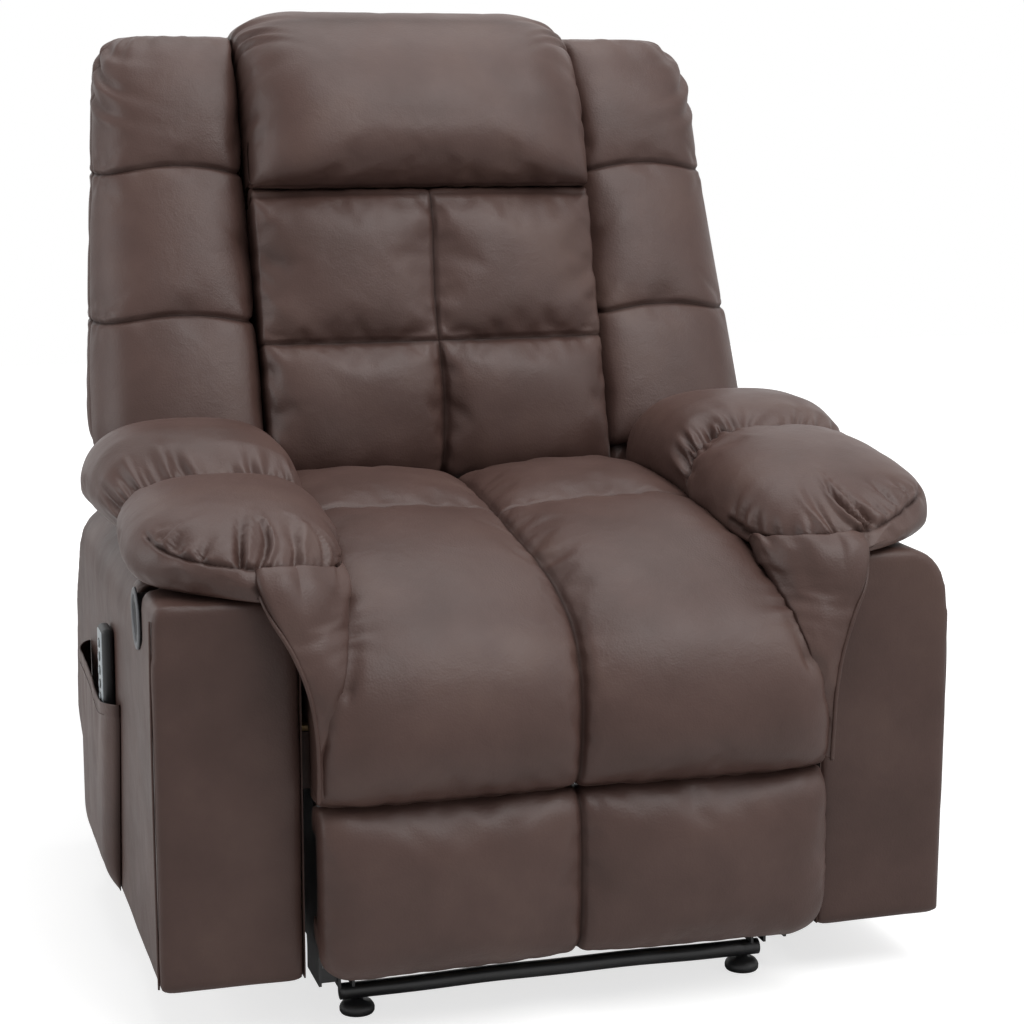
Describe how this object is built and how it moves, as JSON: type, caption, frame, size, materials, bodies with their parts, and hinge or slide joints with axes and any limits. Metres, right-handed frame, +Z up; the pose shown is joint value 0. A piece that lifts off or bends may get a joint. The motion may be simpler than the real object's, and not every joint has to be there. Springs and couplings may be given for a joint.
{
  "type": "massage chair",
  "caption": "Manual reclining armchair with massage motors, padded arms, fold-out footrest, side latch, side pocket and a wired-type handset, in brown imitation leather.",
  "frame": {"origin": "on the floor, under the middle of the chair's outer box", "axes": "+Z up, the sitter faces -Y, +X is to the right as seen from the front"},
  "size_m": [0.92, 0.93, 1.085],
  "materials": {
    "padded_imitation_leather": "dark brown polyurethane-coated fabric over foam, fine grain, soft sheen",
    "imitation_leather": "dark brown polyurethane leather, fine grain, soft sheen",
    "plywood": "birch plywood, unfinished",
    "spring_steel": "oiled spring wire",
    "black_steel": "black powder coat, satin",
    "black_plastic": "moulded, fine texture",
    "grey_plastic": "moulded, satin",
    "silver_plastic": "silver lacquer on plastic"
  },
  "bodies": {
    "chair_base": {"side_plate_right": "black_steel", "side_plate_left": "black_steel", "front_cross_tube": "black_steel", "rear_cross_tube": "black_steel", "glide_front_right": "black_plastic", "glide_front_left": "black_plastic", "glide_rear_right": "black_plastic", "glide_rear_left": "black_plastic", "seat_rail_right": "plywood", "seat_rail_left": "plywood", "seat_rail_front": "plywood", "seat_rail_rear": "plywood", "seat_springs": "spring_steel", "seat_cushion": "padded_imitation_leather", "seat_motor": "black_plastic", "arm_frame_right": "plywood", "arm_frame_left": "plywood", "arm_cover_right": "imitation_leather", "arm_cover_left": "imitation_leather", "arm_pad_right": "padded_imitation_leather", "arm_pad_left": "padded_imitation_leather", "arm_gore_right": "padded_imitation_leather", "arm_gore_left": "padded_imitation_leather", "latch_bezel": "grey_plastic", "release_cable": "black_plastic", "side_pocket": "imitation_leather", "rear_stretcher": "plywood", "control_box": "black_plastic"},
    "footrest_drive": {"torque_tube": "black_steel", "drive_link_right": "black_steel", "drive_link_left": "black_steel"},
    "footrest_follower": {"follower_link_right": "black_steel", "follower_link_left": "black_steel"},
    "footrest_cross": {"cross_link_right": "black_steel", "cross_link_left": "black_steel"},
    "footrest_outer": {"outer_link_right": "black_steel", "outer_link_left": "black_steel"},
    "footrest": {"footrest_frame": "plywood", "footrest_pad": "padded_imitation_leather"},
    "backrest": {"back_pan": "imitation_leather", "recline_bracket_right": "black_steel", "recline_bracket_left": "black_steel", "back_stile_right": "plywood", "back_stile_left": "plywood", "back_rail_bottom": "plywood", "back_rail_top": "plywood", "back_springs": "spring_steel", "back_cushion": "padded_imitation_leather", "head_cushion": "padded_imitation_leather", "wing_right": "padded_imitation_leather", "wing_left": "padded_imitation_leather", "back_motor_lumbar": "black_plastic", "back_motor_upper": "black_plastic"},
    "latch": {"latch_paddle": "black_plastic"},
    "handset": {"handset_shell": "black_plastic"},
    "button_power": {"button_power": "silver_plastic"},
    "button_heat": {"button_heat": "silver_plastic"},
    "button_mode": {"button_mode": "silver_plastic"},
    "button_strength": {"button_strength": "silver_plastic"},
    "button_zone": {"button_zone": "silver_plastic"}
  },
  "joints": [
    {"name": "footrest_swing", "type": "hinge", "parent": "chair_base", "child": "footrest_drive", "pos_m": [0, -0.201, 0.286], "axis": [-1, 0, 0], "range_deg": [0, 118]},
    {"name": "footrest_follower_turn", "type": "hinge", "parent": "chair_base", "child": "footrest_follower", "pos_m": [0, -0.14557, 0.26304], "axis": [-1, 0, 0], "range_deg": [0, 118]},
    {"name": "footrest_cross_turn", "type": "hinge", "parent": "footrest_drive", "child": "footrest_cross", "pos_m": [0, -0.06216, 0.12053], "axis": [-1, 0, 0], "range_deg": [-118, 0]},
    {"name": "footrest_tilt", "type": "hinge", "parent": "footrest_cross", "child": "footrest", "pos_m": [0, -0.36216, 0.19853], "axis": [-1, 0, 0], "range_deg": [0, 90]},
    {"name": "footrest_outer_turn", "type": "hinge", "parent": "footrest_drive", "child": "footrest_outer", "pos_m": [0, -0.03624, 0.14833], "axis": [-1, 0, 0], "range_deg": [-124.32, 0]},
    {"name": "recline", "type": "hinge", "parent": "chair_base", "child": "backrest", "pos_m": [0, 0.165, 0.385], "axis": [-1, 0, 0], "range_deg": [0, 35]},
    {"name": "latch_pull", "type": "hinge", "parent": "chair_base", "child": "latch", "pos_m": [-0.4422, -0.3061, 0.44213], "axis": [0, 0.342, 0.9397], "range_deg": [0, 28], "stiffness_Nm_per_rad": 0.6, "springref_deg": -8.59},
    {"name": "handset_lift", "type": "slide", "parent": "chair_base", "child": "handset", "axis": [0, 0, 1], "range_m": [0, 0.09]},
    {"name": "button_power_press", "type": "slide", "parent": "handset", "child": "button_power", "axis": [1, 0, 0], "range_m": [0, 0.0008], "stiffness_N_per_m": 800, "springref_m": -0.0005},
    {"name": "button_heat_press", "type": "slide", "parent": "handset", "child": "button_heat", "axis": [1, 0, 0], "range_m": [0, 0.0008], "stiffness_N_per_m": 800, "springref_m": -0.0005},
    {"name": "button_mode_press", "type": "slide", "parent": "handset", "child": "button_mode", "axis": [1, 0, 0], "range_m": [0, 0.0008], "stiffness_N_per_m": 800, "springref_m": -0.0005},
    {"name": "button_strength_press", "type": "slide", "parent": "handset", "child": "button_strength", "axis": [1, 0, 0], "range_m": [0, 0.0008], "stiffness_N_per_m": 800, "springref_m": -0.0005},
    {"name": "button_zone_press", "type": "slide", "parent": "handset", "child": "button_zone", "axis": [1, 0, 0], "range_m": [0, 0.0008], "stiffness_N_per_m": 800, "springref_m": -0.0005}
  ],
  "couplings": [
    {"joint": "footrest_follower_turn", "follows": "footrest_swing", "ratio": 1},
    {"joint": "footrest_cross_turn", "follows": "footrest_swing", "ratio": -1},
    {"joint": "footrest_tilt", "follows": "footrest_swing", "ratio": 0.76271},
    {"joint": "footrest_outer_turn", "follows": "footrest_swing", "ratio": -1.0535}
  ]
}
